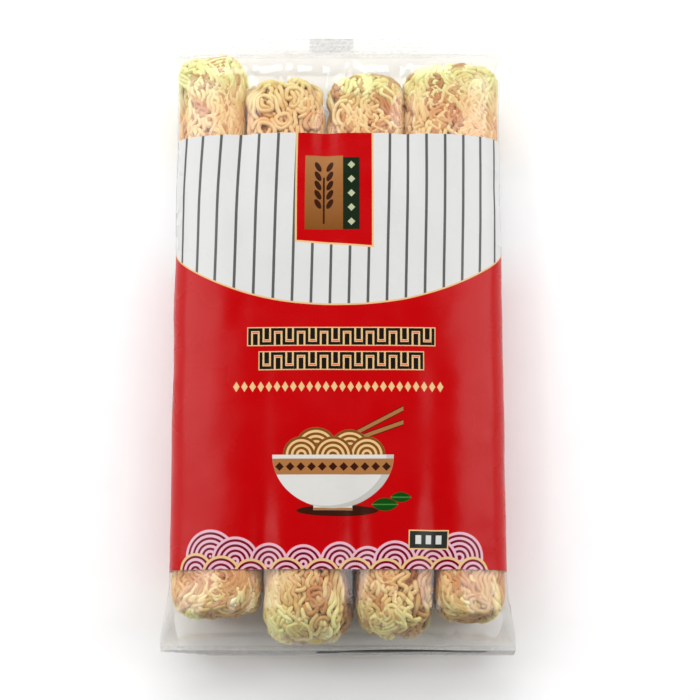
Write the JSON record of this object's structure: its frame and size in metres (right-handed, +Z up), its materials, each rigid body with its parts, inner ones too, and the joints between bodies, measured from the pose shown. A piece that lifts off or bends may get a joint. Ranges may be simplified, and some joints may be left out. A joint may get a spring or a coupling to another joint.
{
  "type": "pack of egg noodles",
  "caption": "Sealed clear film pack of dried egg noodles with a printed band round its middle, lying on its back, with a flat crimped seal at each end.",
  "frame": {"origin": "on the table under the middle of the pack: the middle of the bounding box in X and Y, at its lowest height", "axes": "+Y along the pack towards its top seal, +Z up through the printed front, +X across it to the right as the front is read"},
  "size_m": [0.148, 0.266, 0.044],
  "materials": {
    "printed_film": "glossy printed film, red and pale grey",
    "clear_film": "clear glossy film with crimped seals",
    "dried_noodle": "dry matt pasta dough, pale straw yellow"
  },
  "bodies": {
    "root": {"noodle_pack": "printed_film"}
  },
  "joints": []
}
